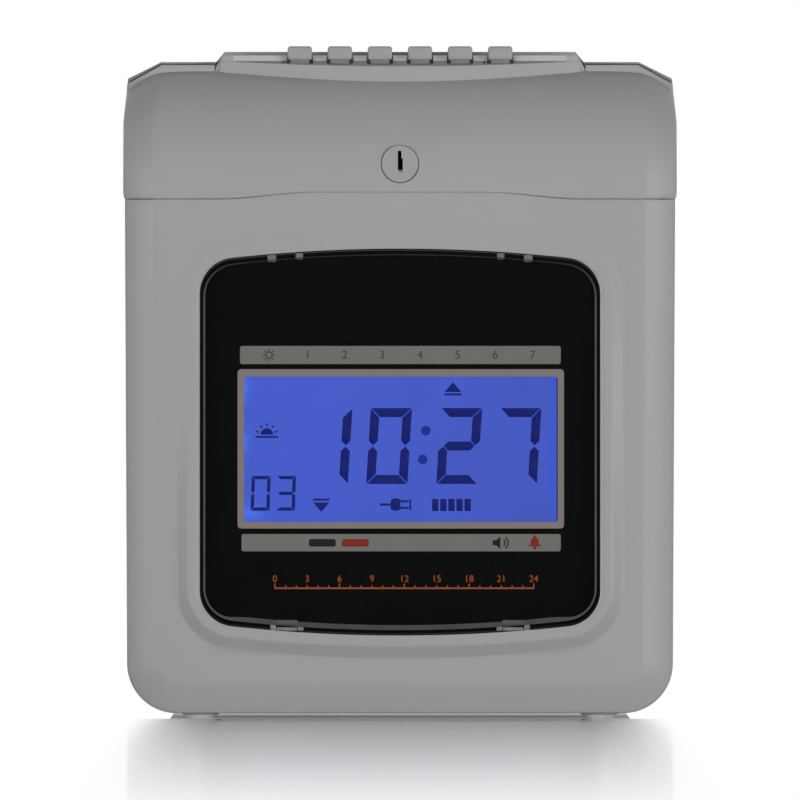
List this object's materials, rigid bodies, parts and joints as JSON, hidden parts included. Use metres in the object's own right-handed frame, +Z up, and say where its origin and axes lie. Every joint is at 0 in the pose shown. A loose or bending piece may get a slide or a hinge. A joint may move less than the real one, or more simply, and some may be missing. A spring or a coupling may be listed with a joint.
{
  "type": "time clock",
  "caption": "Desk time clock that prints on a card put in the slot behind its keys: hinged lockable hood, lit display window, card feed and print carriage inside.",
  "frame": {"origin": "on the ground below the middle of the whole object", "axes": "+Z up, front with the display faces -Y, +X to the viewer's right seen from the front"},
  "size_m": [0.2, 0.146, 0.243],
  "materials": {
    "housing": "fine grained grey moulding",
    "hood_shell": "fine grained grey moulding",
    "back_shell": "fine grained grey moulding",
    "lens": "clear moulded window",
    "mask": "black printed plate",
    "display": "blue lit display glass",
    "light_guide": "white diffuser",
    "board": "green circuit board",
    "black_part": "black moulding",
    "plated_steel": "zinc plated sheet",
    "rubber": "dark rubber",
    "bright_steel": "turned steel",
    "motor": "drawn steel can",
    "pale_plastic": "natural moulding",
    "ink_ribbon": "inked fabric",
    "iron": "varnished core and winding",
    "cells": "sleeved cells",
    "brass": "turned brass",
    "key_caps": "grey moulded caps",
    "set_key_caps": "dark moulded caps"
  },
  "bodies": {
    "case": {"front_housing": "housing", "rear_housing": "back_shell", "display_lens": "lens", "display_mask": "mask", "lcd_panel": "display", "backlight": "light_guide", "display_board": "board", "buzzer": "black_part", "base_plate": "plated_steel", "left_mechanism_plate": "plated_steel", "right_mechanism_plate": "plated_steel", "chute_front_plate": "plated_steel", "chute_rear_plate": "plated_steel", "card_funnel": "black_part", "card_sensor": "black_part", "platen_bar": "rubber", "guide_rods": "bright_steel", "ribbon_cassette": "black_part", "ribbon": "ink_ribbon", "carriage_belt": "rubber", "carriage_motor": "motor", "motor_bridge": "plated_steel", "feed_belt": "rubber", "feed_motor": "motor", "main_board": "board", "transformer": "iron", "battery_pack": "cells", "mains_inlet": "black_part", "inlet_pins": "brass", "rubber_feet": "rubber", "case_screws": "bright_steel", "hinge_pins": "bright_steel", "set_key_board": "board"},
    "hood": {"hood": "hood_shell", "lock_sleeve": "bright_steel", "key_board": "board"},
    "lock": {"lock_barrel": "bright_steel", "lock_cam": "bright_steel"},
    "ribbon_knob": {"ribbon_knob": "pale_plastic"},
    "carriage": {"carriage": "black_part", "print_head": "motor"},
    "drive_pulley": {"drive_pulley": "pale_plastic"},
    "idler_pulley": {"idler_pulley": "pale_plastic"},
    "feed": {"feed_shaft": "bright_steel", "feed_rollers": "rubber", "feed_pulley": "pale_plastic"},
    "motor_pulley": {"motor_pulley": "pale_plastic"},
    "pinch": {"pinch_rollers": "rubber"},
    "column_key_1": {"column_key_1": "key_caps"},
    "column_key_2": {"column_key_2": "key_caps"},
    "column_key_3": {"column_key_3": "key_caps"},
    "column_key_4": {"column_key_4": "key_caps"},
    "column_key_5": {"column_key_5": "key_caps"},
    "column_key_6": {"column_key_6": "key_caps"},
    "set_key_1": {"set_key_1": "set_key_caps"},
    "set_key_2": {"set_key_2": "set_key_caps"},
    "set_key_3": {"set_key_3": "set_key_caps"},
    "set_key_4": {"set_key_4": "set_key_caps"}
  },
  "joints": [
    {"name": "hood_hinge", "type": "hinge", "parent": "case", "child": "hood", "pos_m": [0, -0.036, 0.2339], "axis": [-1, 0, 0], "range_deg": [0, 55]},
    {"name": "lock_turn", "type": "hinge", "parent": "hood", "child": "lock", "pos_m": [0, -0.06, 0.2002], "axis": [0, 1, 0], "range_deg": [0, 90]},
    {"name": "carriage_slide", "type": "slide", "parent": "case", "child": "carriage", "axis": [1, 0, 0], "range_m": [-0.036, 0.036]},
    {"name": "drive_turn", "type": "hinge", "parent": "case", "child": "drive_pulley", "pos_m": [-0.046, 0.01, 0.165], "axis": [0, 0, 1], "range_deg": [-376, 376]},
    {"name": "idler_turn", "type": "hinge", "parent": "case", "child": "idler_pulley", "pos_m": [0.046, 0.01, 0.165], "axis": [0, 0, 1], "range_deg": [-376, 376]},
    {"name": "feed_turn", "type": "hinge", "parent": "case", "child": "feed", "pos_m": [0, -0.0261, 0.15], "axis": [1, 0, 0], "continuous": true},
    {"name": "motor_pulley_turn", "type": "hinge", "parent": "case", "child": "motor_pulley", "pos_m": [0.0555, -0.0101, 0.105], "axis": [1, 0, 0], "continuous": true},
    {"name": "pinch_turn", "type": "hinge", "parent": "case", "child": "pinch", "pos_m": [0, -0.0385, 0.15], "axis": [1, 0, 0], "continuous": true},
    {"name": "ribbon_knob_turn", "type": "hinge", "parent": "case", "child": "ribbon_knob", "pos_m": [0.028, -0.017, 0.19], "axis": [0, 0, 1], "continuous": true},
    {"name": "column_key_1_press", "type": "slide", "parent": "hood", "child": "column_key_1", "axis": [0, 0, -1], "range_m": [0, 0.0015], "stiffness_N_per_m": 300, "springref_m": -0.001},
    {"name": "column_key_2_press", "type": "slide", "parent": "hood", "child": "column_key_2", "axis": [0, 0, -1], "range_m": [0, 0.0015], "stiffness_N_per_m": 300, "springref_m": -0.001},
    {"name": "column_key_3_press", "type": "slide", "parent": "hood", "child": "column_key_3", "axis": [0, 0, -1], "range_m": [0, 0.0015], "stiffness_N_per_m": 300, "springref_m": -0.001},
    {"name": "column_key_4_press", "type": "slide", "parent": "hood", "child": "column_key_4", "axis": [0, 0, -1], "range_m": [0, 0.0015], "stiffness_N_per_m": 300, "springref_m": -0.001},
    {"name": "column_key_5_press", "type": "slide", "parent": "hood", "child": "column_key_5", "axis": [0, 0, -1], "range_m": [0, 0.0015], "stiffness_N_per_m": 300, "springref_m": -0.001},
    {"name": "column_key_6_press", "type": "slide", "parent": "hood", "child": "column_key_6", "axis": [0, 0, -1], "range_m": [0, 0.0015], "stiffness_N_per_m": 300, "springref_m": -0.001},
    {"name": "set_key_1_press", "type": "slide", "parent": "case", "child": "set_key_1", "axis": [0, 0, -1], "range_m": [0, 0.0012], "stiffness_N_per_m": 300, "springref_m": -0.001},
    {"name": "set_key_2_press", "type": "slide", "parent": "case", "child": "set_key_2", "axis": [0, 0, -1], "range_m": [0, 0.0012], "stiffness_N_per_m": 300, "springref_m": -0.001},
    {"name": "set_key_3_press", "type": "slide", "parent": "case", "child": "set_key_3", "axis": [0, 0, -1], "range_m": [0, 0.0012], "stiffness_N_per_m": 300, "springref_m": -0.001},
    {"name": "set_key_4_press", "type": "slide", "parent": "case", "child": "set_key_4", "axis": [0, 0, -1], "range_m": [0, 0.0012], "stiffness_N_per_m": 300, "springref_m": -0.001}
  ],
  "couplings": [
    {"joint": "drive_turn", "follows": "carriage_slide", "rad_per_m": 181.82},
    {"joint": "idler_turn", "follows": "carriage_slide", "rad_per_m": 181.82},
    {"joint": "motor_pulley_turn", "follows": "feed_turn", "ratio": 1.8},
    {"joint": "pinch_turn", "follows": "feed_turn", "ratio": -1.4}
  ]
}
